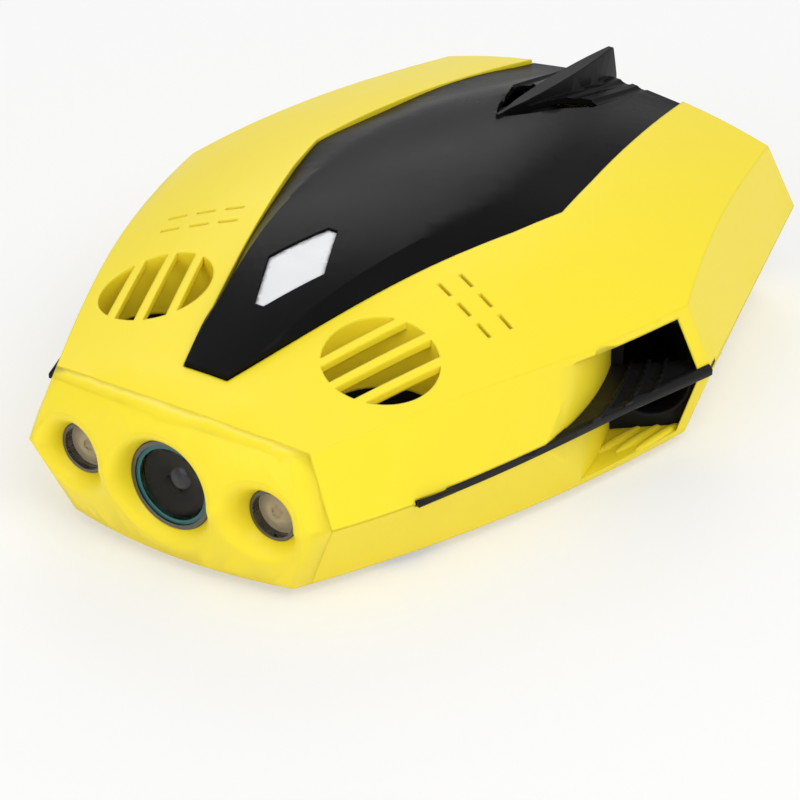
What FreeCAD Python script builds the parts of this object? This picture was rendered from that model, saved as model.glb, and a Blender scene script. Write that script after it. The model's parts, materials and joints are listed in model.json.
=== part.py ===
"""Underwater inspection ROV, built as separate pieces.

Millimetres, +Z up. The nose points to -Y and the tail to +Y. The origin is on the
resting plane, under the middle of the hull.
"""
import FreeCAD, Part
import math
import os

from FreeCAD import Placement, Rotation, Vector

# ---- hull: overall sizes -------------------------------------------------
HULL_LENGTH = 251.0
HULL_WIDTH = 188.0
EQUATOR_Z = 27.5          # height of the parting line between the two shells
RIDGE_Z = 48.2            # height at which the ridge set-backs below are given
BOTTOM_EDGE_Z = 4.0       # lower edge of the side walls
WALL = 2.4                # shell thickness
SEAM = 0.3                # gap between neighbouring covers
FIT = 0.2                 # clearance round pieces that drop into a seat

# ---- hull: plan outline at the equator, and how far each corner draws in ----
NOSE_HALF_WIDTH = 47.2
NOSE_BULGE = 4.85         # the nose and the tail are shallow arcs
TAIL_BULGE = 4.0
TAIL_HALF_WIDTH = 65.3
SHOULDER_Y = 18.3
CHEEK_FROM_NOSE = 30.3    # side curve point behind the nose corner
CHEEK_HALF_WIDTH = 62.3
FLANK_FROM_NOSE = 70.7
FLANK_HALF_WIDTH = 75.8
RIDGE_SETBACK = {"nose": (6.8, 3.4), "cheek": (8.8, 0.0), "flank": (5.0, 0.0),
                 "shoulder": (5.8, -4.4), "tail": (5.8, -6.8)}
BOTTOM_SETBACK = {"nose": (9.4, 7.3), "cheek": (12.4, 0.0), "flank": (8.8, 0.0),
                  "shoulder": (8.1, 0.0), "tail": (8.1, -6.8)}
BELLY_INSET = 11.0        # how far the flat belly lies inside the bottom edge

# ---- hull: crown of the top. (place, height on the centre line, drop at CROWN_REF) ----
CROWN_REF = 60.0
TOP_LEVEL = 84.0          # above everything
CROWN_STATIONS = [("nose", -14.0, 48.2, 7.0), ("nose", 8.5, 51.3, 7.6), ("nose", 54.5, 60.2, 10.0),
                  ("nose", 88.5, 66.6, 12.0), ("middle", 14.0, 69.8, 10.6),
                  ("tail", -57.5, 66.6, 10.4), ("tail", -11.5, 58.6, 10.2), ("tail", 12.0, 54.4, 10.0)]

# ---- top cover: (place, half width at the edge, half width at the crease, height, crease drop) ----
COVER_STATIONS = [("nose", 25.5, 7.2, 7.0, 55.4, 0.15), ("nose", 52.0, 15.6, 13.2, 63.9, 0.8),
                  ("nose", 75.0, 22.9, 18.2, 69.4, 1.4), ("nose", 95.0, 29.2, 22.2, 71.7, 2.0),
                  ("middle", -2.0, 38.3, 26.6, 72.6, 2.8), ("middle", 17.0, 43.0, 27.8, 72.6, 3.2),
                  ("middle", 38.0, 40.2, 26.2, 71.6, 3.0), ("tail", -54.0, 34.8, 21.4, 67.6, 2.4),
                  ("tail", -29.0, 30.6, 17.0, 62.4, 1.8), ("tail", -1.0, 26.0, 12.8, 56.6, 1.1),
                  ("tail", 26.0, 22.0, 9.2, 51.4, 0.6)]
COVER_SEAT = 3.0          # depth of the ledge that the cover sits on
COVER_SKIN = 2.2
LEDGE_WIDTH = 3.5
LEDGE_THICKNESS = 2.0
COVER_OVERHANG = 1.5      # the lofted form is this much wider than the cover that is cut from it
FIN_FRONT_Y = 50.0
FIN_TIP = (-7.6, 67.4)    # from the tail, height
FIN_REAR_BASE = -4.8      # from the tail
FIN_HALF_BASE = 3.4
FIN_HALF_TOP = 0.9
INTAKE_PLAN = [(2.2, -72.0), (5.4, -66.0), (10.6, -52.0), (13.6, -42.0), (12.4, -37.5),
               (7.0, -41.0), (3.4, -51.0)]    # right teardrop opening, y from the tail
LENS_FROM_NOSE = 69.6
LENS_HALF = (9.4, 18.2)
LENS_TRUNCATION = 1.6
LENS_SINK = 0.7

# ---- nose: bezel, camera and lamps ---------------------------------------------
BEZEL_DEPTH = 6.0
CAMERA_Z = 26.6
CAMERA_BOWL_R = 17.4      # mouth of the bowl in the nose face
CAMERA_RING_R = 14.0
CAMERA_GLASS_R = 11.0
CAMERA_SINK = 4.8         # depth of the window under the nose point
LAMP_X = 31.2
LAMP_BOWL_R = 12.6
LAMP_RING_R = 8.0
LAMP_GLASS_R = 6.7
LAMP_SINK = 8.6
BOWL_WALL = 1.6

# ---- thrusters -------------------------------------------------------------------
TUNNEL_R = 16.6
TUNNEL_WALL = 2.0
DUCT_WALL = 1.4
FRONT_X = 38.7
FRONT_FROM_NOSE = 54.4
GRILLE_BAR = 2.8
GRILLE_ANGLE = 19.3       # the bars run along the cover's long edges
TAIL_TUNNEL_FROM_TAIL = 55.5
DRIVE_X = 43.0
DUCT_SEAT_Z = 5.0
FRONT_DUCT_TOP = 38.0
TAIL_DUCT_TOP = 46.0
DRIVE_REAR_GAP = 16.0     # from the tail to the end of the drive duct
DRIVE_FRONT_Y = 53.0      # where the round part of the drive duct begins
BLADE_GAP = 1.0           # blade tips to duct wall
SHAFT_R = 1.0
SHAFT_CLEARANCE = 0.05
BELL_R = 7.0
STATOR_R = 5.9
CUP_R = 7.6
CUP_HEIGHT = 4.0
BELL_HEIGHT = 9.0
HUB_HEIGHT = 7.0
BLADES = 3

# ---- side intakes -------------------------------------------------------------------
SCOOP_R = 112.0
SCOOP_FROM_SHOULDER = (-129.0, -56.5)   # centre of the scoop arc from the shoulder corner
SCOOP_WALL = 2.0
RIM = 2.6                 # rear rim of the intake
FLOOR_Z = 6.6
VANE_THICKNESS = 2.2
VANE_EDGE_R = (0.8, 1.9)
MOUTH_FROM_SHOULDER = (-15.0, -6.3)     # centre of the drive duct's mouth
MOUTH_HALF = (11.0, 16.5)
MOUTH_TURN = 41.0

# ---- sealed capsule --------------------------------------------------------------------
CAPSULE_HALF_WIDTH = 34.0
CAPSULE_FROM_NOSE = 78.0
CAPSULE_REAR_Y = 34.0
CAPSULE_Z = (7.0, 51.0)
CAPSULE_WALL = 2.0
CAPSULE_CORNER = 6.0
NECK_R = 15.2
LID_HEIGHT = 3.0
SEAL_HEIGHT = 1.2
BATTERY = (56.0, 66.0, 22.0)
BOARD = (60.0, 62.0, 1.6)
BOARD_Z = 38.0

# ---- fasteners, belly fittings and tether socket ----------------------------------------
SCREW_R = 1.4
SCREW_HOLE_GAP = 0.1
BOSS_R = 3.4
INSERT_R = 3.2
INSERT_BORE_R = 1.65
INSERT_LENGTH = 6.0
INSERT_SPACING = (56.0, 70.0)
INSERT_MIDDLE_Y = -7.0
SOCKET_R = 7.5
SOCKET_BORE_R = 5.2
SOCKET_DEPTH = 9.0
SOCKET_Z = 27.5
PIN_R = 0.7

NOSE_Y = -HULL_LENGTH / 2
TAIL_Y = HULL_LENGTH / 2
PLACES = {"nose": NOSE_Y, "middle": 0.0, "tail": TAIL_Y}
Z_AXIS = Vector(0, 0, 1)
ORIGIN = Vector(0, 0, 0)


# ---- helpers ---------------------------------------------------------------
def box(x0, x1, y0, y1, z0, z1):
    return Part.makeBox(x1 - x0, y1 - y0, z1 - z0, Vector(x0, y0, z0))


def mirrored(shape):
    return shape.mirror(ORIGIN, Vector(1, 0, 0))


def both(shape):
    return shape.fuse(mirrored(shape))


def prism(points, z0, z1):
    wire = Part.makePolygon([Vector(x, y, z0) for x, y in points + points[:1]])
    return Part.Face(wire).extrude(Vector(0, 0, z1 - z0))


def cylinder(radius, z0, z1, x=0.0, y=0.0):
    return Part.makeCylinder(radius, z1 - z0, Vector(x, y, z0))


def along_y(radius, y0, y1, x, z):
    """Cylinder that runs along Y."""
    return Part.makeCylinder(radius, y1 - y0, Vector(x, y0, z), Vector(0, 1, 0))


def turned(profile, x, z):
    """Solid of revolution about the Y line through x, z, from (radius, y) points."""
    points = [Vector(x + r, y, z) for r, y in profile + profile[:1]]
    face = Part.Face(Part.makePolygon(points))
    return face.revolve(Vector(x, 0, z), Vector(0, 1, 0), 360)


def spun(profile):
    """Solid of revolution about Z, from (radius, z) points."""
    points = [Vector(r, 0, z) for r, z in profile + profile[:1]]
    return Part.Face(Part.makePolygon(points)).revolve(ORIGIN, Z_AXIS, 360)


def rounded_box(x0, x1, y0, y1, z0, z1, radius):
    block = box(x0, x1, y0, y1, z0, z1)
    upright = [e for e in block.Edges if e.BoundBox.ZLength > (z1 - z0) - 0.01 and e.BoundBox.XLength < 0.01]
    return block.makeFillet(radius, [e for e in upright if e.BoundBox.YLength < 0.01])


def placed(shape, x, y, z, axis=Z_AXIS, angle=0.0):
    moved = shape.copy()
    moved.Placement = Placement(Vector(x, y, z), Rotation(axis, angle)).multiply(moved.Placement)
    return moved


def save(shape, node):
    solids = shape.Solids
    out = solids[0] if len(solids) == 1 else Part.makeCompound(solids)
    out.exportStep("parts/" + node + ".step")
    print(node, len(solids), round(out.Volume, 1), out.isValid())


# ---- hull form ----------------------------------------------------------------
def corner_points(setbacks, share):
    """Right-hand outline points, drawn in by a share of the given set-backs."""
    nose_y = NOSE_Y + NOSE_BULGE
    tail_y = TAIL_Y - TAIL_BULGE
    places = {"nose": (NOSE_HALF_WIDTH, nose_y),
              "cheek": (CHEEK_HALF_WIDTH, nose_y + CHEEK_FROM_NOSE),
              "flank": (FLANK_HALF_WIDTH, nose_y + FLANK_FROM_NOSE),
              "shoulder": (HULL_WIDTH / 2, SHOULDER_Y),
              "tail": (TAIL_HALF_WIDTH, tail_y)}
    return {name: (x - share * setbacks[name][0], y + share * setbacks[name][1])
            for name, (x, y) in places.items()}


def mitred(point, normal_a, normal_b, inset):
    """A corner moved inwards so that both sides that meet there move by inset."""
    return point + (normal_a + normal_b) * (inset / (1 + normal_a.dot(normal_b)))


def outline(setbacks, share, z, inset=0.0):
    """Closed plan outline at height z, moved inwards by inset."""
    p = corner_points(setbacks, share)
    names = ["nose", "cheek", "flank", "shoulder"]
    side = Part.BSplineCurve()
    side.interpolate([Vector(*p[name], z) for name in names])
    tangents = [Vector(*side.tangent(side.parameter(Vector(*p[name], z)))[0]) for name in names]
    normals = {name: Vector(-t.y, t.x, 0) for name, t in zip(names, tangents)}
    nose, shoulder, tail = (Vector(*p[name], z) for name in ("nose", "shoulder", "tail"))
    facet = (tail - shoulder).normalize()
    facet_normal = Vector(-facet.y, facet.x, 0)
    nose_angle = 2 * math.atan2(NOSE_BULGE, nose.x)
    tail_angle = 2 * math.atan2(TAIL_BULGE, tail.x)
    nose_normal = Vector(-math.sin(nose_angle), math.cos(nose_angle), 0)
    tail_normal = Vector(-math.sin(tail_angle), -math.cos(tail_angle), 0)
    points = [mitred(nose, nose_normal, normals["nose"], inset),
              Vector(*p["cheek"], z) + normals["cheek"] * inset, Vector(*p["flank"], z) + normals["flank"] * inset,
              mitred(shoulder, normals["shoulder"], facet_normal, inset)]
    tail = mitred(tail, facet_normal, tail_normal, inset)
    left = [Vector(-point.x, point.y, z) for point in points]
    left_tail = Vector(-tail.x, tail.y, z)
    right_side, left_side = Part.BSplineCurve(), Part.BSplineCurve()
    right_side.interpolate(points)
    left_side.interpolate(left[::-1])
    nose_mid = Vector(0, nose.y - NOSE_BULGE + inset, z)
    tail_mid = Vector(0, p["tail"][1] + TAIL_BULGE - inset, z)
    return Part.Wire([Part.Arc(left[0], nose_mid, points[0]).toShape(), right_side.toShape(),
                      Part.LineSegment(points[3], tail).toShape(), Part.Arc(tail, tail_mid, left_tail).toShape(),
                      Part.LineSegment(left_tail, left[3]).toShape(), left_side.toShape()])


def crown_solid(lower=0.0):
    """Everything under the crowned top, lowered by the given amount."""
    wires = []
    side = HULL_WIDTH * 0.75
    for place, offset, height, drop in CROWN_STATIONS:
        y = PLACES[place] + offset
        top = height - lower
        fall = drop * (side / CROWN_REF) ** 2
        low = -HULL_WIDTH
        left, right = Vector(-side, y, top - fall), Vector(side, y, top - fall)
        wires.append(Part.Wire([Part.Arc(left, Vector(0, y, top), right).toShape(),
                                Part.LineSegment(right, Vector(side, y, low)).toShape(),
                                Part.LineSegment(Vector(side, y, low), Vector(-side, y, low)).toShape(),
                                Part.LineSegment(Vector(-side, y, low), left).toShape()]))
    return Part.makeLoft(wires, True, False)


def hull_sides(inset=0.0):
    """Upper side walls as one solid, carried up past the crown."""
    top_share = (TOP_LEVEL - EQUATOR_Z) / (RIDGE_Z - EQUATOR_Z)
    return Part.makeLoft([outline(RIDGE_SETBACK, 0.0, EQUATOR_Z, inset),
                          outline(RIDGE_SETBACK, top_share, TOP_LEVEL, inset)], True, True)


def hull_form(inset=0.0):
    """The whole outer form of the hull, or the same form drawn in by inset."""
    equator = outline(RIDGE_SETBACK, 0.0, EQUATOR_Z, inset)
    bottom = outline(BOTTOM_SETBACK, 1.0, BOTTOM_EDGE_Z + inset, inset)
    belly = outline(BOTTOM_SETBACK, 1.0, inset, inset + BELLY_INSET)
    upper = hull_sides(inset).common(crown_solid(inset))
    lower = Part.makeLoft([bottom, equator], True, True)
    under = Part.makeLoft([belly, bottom], True, True)
    return upper.fuse([lower, under])


def behind_nose(setback):
    """Everything behind a surface that runs parallel to the nose face."""
    reach = HULL_WIDTH * 0.45
    radius = (NOSE_HALF_WIDTH ** 2 + NOSE_BULGE ** 2) / (2 * NOSE_BULGE)
    low = -10.0
    levels = [(low, BOTTOM_SETBACK["nose"][1] * (EQUATOR_Z - low) / (EQUATOR_Z - BOTTOM_EDGE_Z)),
              (EQUATOR_Z, 0.0),
              (TOP_LEVEL, RIDGE_SETBACK["nose"][1] * (TOP_LEVEL - EQUATOR_Z) / (RIDGE_Z - EQUATOR_Z))]
    wires = []
    for z, shift in levels:
        y = NOSE_Y + setback + shift
        y_side = y + radius - math.sqrt(radius ** 2 - reach ** 2)
        left, right = Vector(-reach, y_side, z), Vector(reach, y_side, z)
        corners = [right, Vector(HULL_WIDTH, y_side, z), Vector(HULL_WIDTH, TAIL_Y + 40, z),
                   Vector(-HULL_WIDTH, TAIL_Y + 40, z), Vector(-HULL_WIDTH, y_side, z), left]
        lines = [Part.LineSegment(a, b).toShape() for a, b in zip(corners, corners[1:])]
        wires.append(Part.Wire([Part.Arc(left, Vector(0, y, z), right).toShape()] + lines))
    return Part.makeLoft(wires, True, True)


def inside_rear_facet(offset):
    """Everything on the inner side of the right rear side face, moved inwards by offset."""
    top_share = (TOP_LEVEL - EQUATOR_Z) / (RIDGE_Z - EQUATOR_Z)
    low_share = (EQUATOR_Z + 10.0) / (EQUATOR_Z - BOTTOM_EDGE_Z)
    wires = []
    for setbacks, share, z in ((BOTTOM_SETBACK, low_share, -10.0), (RIDGE_SETBACK, 0.0, EQUATOR_Z),
                               (RIDGE_SETBACK, top_share, TOP_LEVEL)):
        p = corner_points(setbacks, share)
        shoulder, tail = Vector(*p["shoulder"], z), Vector(*p["tail"], z)
        run = (tail - shoulder).normalize()
        inward = Vector(-run.y, run.x, 0) * offset
        front = shoulder + inward - run * HULL_LENGTH
        back = tail + inward + run * 20
        wires.append(Part.makePolygon([front, back, Vector(0, back.y, z), Vector(0, front.y, z), front]))
    return Part.makeLoft(wires, True, True)


def scoop_centre():
    return HULL_WIDTH / 2 + SCOOP_FROM_SHOULDER[0], SHOULDER_Y + SCOOP_FROM_SHOULDER[1]


def scoop_column(radius):
    """Round column whose outer face is the curved wall of the right intake."""
    x, y = scoop_centre()
    return cylinder(radius, -20, TOP_LEVEL, x, y)


def outline_plate(z0, z1, inset=0.0):
    """Flat plate with the hull's outline at the equator."""
    face = Part.Face(outline(RIDGE_SETBACK, 0.0, z0, inset))
    return face.extrude(Vector(0, 0, z1 - z0))


def cheek_y():
    return NOSE_Y + NOSE_BULGE + CHEEK_FROM_NOSE


def mouth_place():
    return HULL_WIDTH / 2 + MOUTH_FROM_SHOULDER[0], SHOULDER_Y + MOUTH_FROM_SHOULDER[1]


def mouth_slab(ahead, behind):
    """Slanted slab across the right intake, from ahead of the duct's mouth to behind it."""
    x, y = mouth_place()
    slab = box(-70, 70, -ahead, behind, -20, TOP_LEVEL)
    return placed(slab, x, y, 0, Z_AXIS, MOUTH_TURN)


# ---- shells --------------------------------------------------------------------------
OUTER = None
INNER = None


def vane_plan(z0, z1, seat, grow=0.0):
    """Right vane: what lies outside the scoop wall, and a tongue forwards along the seam."""
    plate = outline_plate(z0, z1, -grow)
    wing = plate.cut(scoop_column(SCOOP_R - seat))
    tongue = plate.cut(outline_plate(z0, z1, seat))
    room = box(0, HULL_WIDTH, cheek_y() - grow, TAIL_Y, z0, z1)
    ahead = mouth_slab(300, -FIT + grow)
    return wing.fuse(tongue).common(room).common(inside_rear_facet(FIT - grow)).common(ahead)


def vane_edge(grow=0.0):
    """Eight-sided outer edge of the right vane, which thickens towards the shoulder."""
    p = corner_points(RIDGE_SETBACK, 0.0)
    start = Vector(p["cheek"][0] - 0.4, p["cheek"][1] + 1.0, EQUATOR_Z)
    end = Vector(p["shoulder"][0] - VANE_EDGE_R[1] + 1.0, p["shoulder"][1] - 0.5, EQUATOR_Z)
    run = (end - start).normalize()
    across = Vector(run.y, -run.x, 0)
    wires = []
    for place, radius in ((start - run * grow, VANE_EDGE_R[0] + grow), (end + run * grow, VANE_EDGE_R[1] + grow)):
        corners = []
        for i in range(8):
            angle = math.radians(45 * i + 22.5)
            reach = radius / math.cos(math.radians(22.5))
            corners.append(place + across * (reach * math.cos(angle)) + Z_AXIS * (reach * math.sin(angle)))
        wires.append(Part.makePolygon(corners + corners[:1]))
    return Part.makeLoft(wires, True, True)


def side_mouth():
    """What is cut out of the right side wall: under the top skin and ahead of the rear rim."""
    x, y = scoop_centre()
    block = box(x, HULL_WIDTH, y - 20, DRIVE_FRONT_Y, FLOOR_Z, TOP_LEVEL)
    return block.cut(scoop_column(SCOOP_R)).common(crown_solid(WALL)).common(inside_rear_facet(RIM))


def scoop_wall():
    x, y = scoop_centre()
    band = scoop_column(SCOOP_R).cut(scoop_column(SCOOP_R - SCOOP_WALL))
    return band.common(box(x, HULL_WIDTH, y - 20, DRIVE_FRONT_Y, 0, TOP_LEVEL)).common(mouth_slab(300, 0))


def grille_cut():
    """Round tunnel mouth in the top skin, less the bars across it (right side)."""
    y = NOSE_Y + FRONT_FROM_NOSE
    hole = cylinder(TUNNEL_R, RIDGE_Z - 8, TOP_LEVEL, FRONT_X, y)
    pitch = (2 * TUNNEL_R + GRILLE_BAR) / 4
    bars = [box((i - 1) * pitch - GRILLE_BAR / 2, (i - 1) * pitch + GRILLE_BAR / 2, -2 * TUNNEL_R, 2 * TUNNEL_R,
                0, TOP_LEVEL) for i in range(3)]
    bars = [placed(bar, FRONT_X, y, 0, Z_AXIS, -GRILLE_ANGLE) for bar in bars]
    return hole.cut(bars[0].fuse(bars[1:]))


def slot_cuts():
    """Two rows of three slots behind the grille (right side)."""
    turn = math.radians(GRILLE_ANGLE)
    along = Vector(math.sin(turn), math.cos(turn), 0)
    across = Vector(math.cos(turn), -math.sin(turn), 0)
    first = Vector(FRONT_X, NOSE_Y + FRONT_FROM_NOSE, 0) + along * 31.8 + across * -12.2
    cuts = []
    for row in range(2):
        for column in range(3):
            at = first + along * (row * 7.7) + across * (column * 8.9)
            slot = box(-2.8, 2.8, -0.55, 0.55, RIDGE_Z - 8, TOP_LEVEL)
            cuts.append(placed(slot, at.x, at.y, 0, Z_AXIS, -GRILLE_ANGLE))
    return cuts


def cover_outline(grow, z0, z1):
    """Upright prism with the plan outline of the top cover."""
    right = [(half + grow, PLACES[place] + offset) for place, offset, half, _, _, _ in COVER_STATIONS]
    right[0] = (right[0][0], right[0][1] - grow)
    right[-1] = (right[-1][0], right[-1][1] + grow)
    left = [(-x, y) for x, y in reversed(right)]
    return prism(right + left, z0, z1)


def screw_places():
    return [(20.0, NOSE_Y + 26.0), (58.0, -24.0), (72.0, TAIL_Y - 65.0), (19.5, TAIL_Y - 12.0)]


def upper_shell():
    y = NOSE_Y + FRONT_FROM_NOSE
    above = box(-HULL_WIDTH, HULL_WIDTH, NOSE_Y - 20, TAIL_Y + 20, EQUATOR_Z, TOP_LEVEL)
    shell = OUTER.cut(INNER).common(above)
    tunnel = cylinder(TUNNEL_R + TUNNEL_WALL, FRONT_DUCT_TOP, TOP_LEVEL, FRONT_X, y)
    bosses = [cylinder(BOSS_R, EQUATOR_Z, TOP_LEVEL, bx, by) for bx, by in screw_places()]
    added = both(tunnel.fuse([scoop_wall().common(above)] + bosses)).common(OUTER)
    opening = cover_outline(SEAM, 30, TOP_LEVEL)
    ledge_foot = crown_solid(COVER_SEAT + LEDGE_THICKNESS)
    frame = cover_outline(WALL, 30, TOP_LEVEL).cut(cover_outline(-LEDGE_WIDTH, 30, TOP_LEVEL))
    frame = frame.fuse(cover_outline(SEAM, 30, TOP_LEVEL).cut(hull_sides(WALL)))
    frame = frame.cut(opening.cut(crown_solid(COVER_SEAT))).common(OUTER).cut(ledge_foot)
    shell = shell.fuse(added).cut(opening.cut(ledge_foot)).fuse(frame)
    bore = cylinder(TUNNEL_R, 30, TOP_LEVEL, FRONT_X, y).common(crown_solid(WALL))
    holes = [cylinder(SCREW_R + SCREW_HOLE_GAP, 0, EQUATOR_Z + 9, bx, by) for bx, by in screw_places()]
    drive_hole = along_y(TUNNEL_R + DUCT_WALL + FIT + 0.6, TAIL_Y - DRIVE_REAR_GAP, TAIL_Y + 10, DRIVE_X, EQUATOR_Z)
    cuts = [bore, grille_cut(), side_mouth(), drive_hole] + slot_cuts() + holes
    slot = vane_plan(EQUATOR_Z - 5, EQUATOR_Z + VANE_THICKNESS / 2 + 0.05, SCOOP_WALL + 0.3, FIT)
    cuts.append(slot.fuse(vane_edge(FIT)))
    shell = shell.cut([c for cut in cuts for c in (cut, mirrored(cut))] + [socket_room()])
    return shell.common(behind_nose(BEZEL_DEPTH + SEAM))


def lower_shell():
    y = NOSE_Y + FRONT_FROM_NOSE
    tail_y = TAIL_Y - TAIL_TUNNEL_FROM_TAIL
    below = box(-HULL_WIDTH, HULL_WIDTH, NOSE_Y - 20, TAIL_Y + 20, -20, EQUATOR_Z)
    shell = OUTER.cut(INNER).common(below)
    collar_r = TUNNEL_R + DUCT_WALL + FIT + TUNNEL_WALL
    floor = box(SHOULDER_Y, HULL_WIDTH, NOSE_Y, DRIVE_FRONT_Y, FLOOR_Z - WALL, FLOOR_Z)
    floor = floor.cut(scoop_column(SCOOP_R - SCOOP_WALL)).common(mouth_slab(300, 2.0))
    added = [cylinder(collar_r, 0, DUCT_SEAT_Z + 9, FRONT_X, y), floor, scoop_wall().common(below)]
    added += [cylinder(BOSS_R, 0, EQUATOR_Z, bx, by) for bx, by in screw_places()]
    added += [cylinder(INSERT_R + 2, 0, INSERT_LENGTH + 0.5, INSERT_SPACING[0] / 2, INSERT_MIDDLE_Y + side)
              for side in (-INSERT_SPACING[1] / 2, INSERT_SPACING[1] / 2)]
    added += louvres()
    added = both(added[0].fuse(added[1:])).fuse(cylinder(collar_r, 0, DUCT_SEAT_Z + 9, 0, tail_y))
    shell = shell.fuse(added.common(OUTER))
    cuts = [cylinder(TUNNEL_R, -20, 30, FRONT_X, y), side_mouth()]
    cuts.append(cylinder(collar_r - TUNNEL_WALL, DUCT_SEAT_Z, 30, FRONT_X, y))
    cuts.append(along_y(TUNNEL_R + DUCT_WALL + FIT + 0.6, TAIL_Y - DRIVE_REAR_GAP, TAIL_Y + 10, DRIVE_X, EQUATOR_Z))
    slot = vane_plan(EQUATOR_Z - VANE_THICKNESS / 2 - 0.05, EQUATOR_Z + 5, SCOOP_WALL + 0.3, FIT)
    cuts.append(slot.fuse(vane_edge(FIT)))
    for bx, by in screw_places():
        cuts.append(cylinder(SCREW_R + SCREW_HOLE_GAP, -5, EQUATOR_Z + 5, bx, by))
        cuts.append(cylinder(2 * SCREW_R + SCREW_HOLE_GAP, -5, screw_seat(bx, by), bx, by))
    for side in (-INSERT_SPACING[1] / 2, INSERT_SPACING[1] / 2):
        cuts.append(cylinder(INSERT_R, -5, INSERT_LENGTH, INSERT_SPACING[0] / 2, INSERT_MIDDLE_Y + side))
    shell = shell.cut([c for cut in cuts for c in (cut, mirrored(cut))] + [socket_room()])
    shell = shell.cut(cylinder(TUNNEL_R, -20, 30, 0, tail_y).fuse(
        cylinder(collar_r - TUNNEL_WALL, DUCT_SEAT_Z, 30, 0, tail_y)))
    return shell.common(behind_nose(BEZEL_DEPTH + SEAM))


def screw_seat(x, y):
    """Height of the screw head's seat: a fixed step above the underside there."""
    column = cylinder(SCREW_R, -20, EQUATOR_Z, x, y).common(OUTER)
    return column.optimalBoundingBox(False).ZMin + 2.0


def louvres():
    """Slanted ribs on the floor of the right intake, ahead of the duct's mouth."""
    x, y = mouth_place()
    ribs = []
    for step in range(3):
        rib = box(-9, 11, -0.8, 0.8, FLOOR_Z - 1, FLOOR_Z + 1.8)
        ribs.append(placed(rib, x + 1.5 * step - 4.0, y - 5.5 - 4.2 * step, 0, Z_AXIS, MOUTH_TURN))
    keep = inside_rear_facet(RIM)
    return [rib.cut(scoop_column(SCOOP_R)).common(keep) for rib in ribs]


def socket_room():
    return along_y(SOCKET_R + FIT, TAIL_Y - SOCKET_DEPTH - 4, TAIL_Y + 10, 0, SOCKET_Z)


# ---- nose -------------------------------------------------------------------------------
def bowl(x, mouth_r, ring_r, face_y, ring_y, grow):
    """Round concave bowl that narrows from the nose face to a ring, grown for its outside."""
    front = face_y - 8.0
    middle_r = ring_r + 0.74 * (mouth_r - ring_r)
    middle_y = (face_y + ring_y) / 2
    inner = ring_r + grow
    return turned([(0, front), (mouth_r + grow, front), (mouth_r + grow, face_y - 1), (middle_r + grow, middle_y),
                   (inner, ring_y + grow), (0, ring_y + grow)], x, CAMERA_Z)


def nose_face_y(x):
    return NOSE_Y + NOSE_BULGE * (x / NOSE_HALF_WIDTH) ** 2


def camera_y():
    return NOSE_Y + CAMERA_SINK


def lamp_y():
    return NOSE_Y + LAMP_SINK


def nose_bezel():
    front = OUTER.cut(behind_nose(BEZEL_DEPTH))
    skin = front.cut(INNER)
    bowls = [(0.0, CAMERA_BOWL_R, CAMERA_RING_R + FIT, camera_y()),
             (LAMP_X, LAMP_BOWL_R, LAMP_RING_R + FIT, lamp_y()),
             (-LAMP_X, LAMP_BOWL_R, LAMP_RING_R + FIT, lamp_y())]
    walls, rooms = [], []
    for x, mouth_r, ring_r, ring_y in bowls:
        face_y = nose_face_y(x)
        walls.append(bowl(x, mouth_r, ring_r, face_y, ring_y, BOWL_WALL).fuse(
            along_y(ring_r + BOWL_WALL, ring_y, ring_y + 3.0, x, CAMERA_Z)))
        rooms.append(bowl(x, mouth_r, ring_r, face_y, ring_y, 0.0).fuse(
            along_y(ring_r, ring_y - 1, ring_y + 12, x, CAMERA_Z)))
    walls = walls[0].fuse(walls[1:]).common(OUTER)
    bezel = skin.fuse(walls)
    return bezel.cut(rooms)


def camera_parts():
    y = camera_y()
    ring_inner = CAMERA_GLASS_R + 1.3
    ring = turned([(ring_inner, y - 0.6), (CAMERA_RING_R - 0.5, y - 0.6), (CAMERA_RING_R, y), (CAMERA_RING_R, y + 6),
                   (ring_inner, y + 6)], 0, CAMERA_Z)
    seal = turned([(CAMERA_GLASS_R, y), (ring_inner, y), (ring_inner, y + 2.4), (CAMERA_GLASS_R, y + 2.4)], 0, CAMERA_Z)
    crown = Part.Arc(Vector(0, y - 0.8, CAMERA_Z), Vector(CAMERA_GLASS_R / 2, y - 0.55, CAMERA_Z),
                     Vector(CAMERA_GLASS_R, y + 0.2, CAMERA_Z)).toShape()
    back = [Vector(CAMERA_GLASS_R, y + 0.2, CAMERA_Z), Vector(CAMERA_GLASS_R, y + 2.2, CAMERA_Z),
            Vector(0, y + 2.2, CAMERA_Z), Vector(0, y - 0.8, CAMERA_Z)]
    lines = [Part.LineSegment(a, b).toShape() for a, b in zip(back, back[1:])]
    window = Part.Face(Part.Wire([crown] + lines)).revolve(Vector(0, 0, CAMERA_Z), Vector(0, 1, 0), 360)
    lens = turned([(0, y + 5.2), (3.4, y + 5.2), (4.2, y + 3.6), (CAMERA_GLASS_R - 0.4, y + 2.2),
                   (CAMERA_GLASS_R - 0.4, y + 14), (8.0, y + 14), (8.0, y + 20), (0, y + 20)], 0, CAMERA_Z)
    board = box(-9.5, 9.5, y + 20, y + 21.6, CAMERA_Z - 8, CAMERA_Z + 8)
    chip = box(-4, 4, y + 21.6, y + 23.2, CAMERA_Z - 4, CAMERA_Z + 4)
    return {"camera_ring": ring, "camera_seal": seal, "camera_window": window, "camera_lens": lens,
            "camera_board": board.fuse(chip)}


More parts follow.
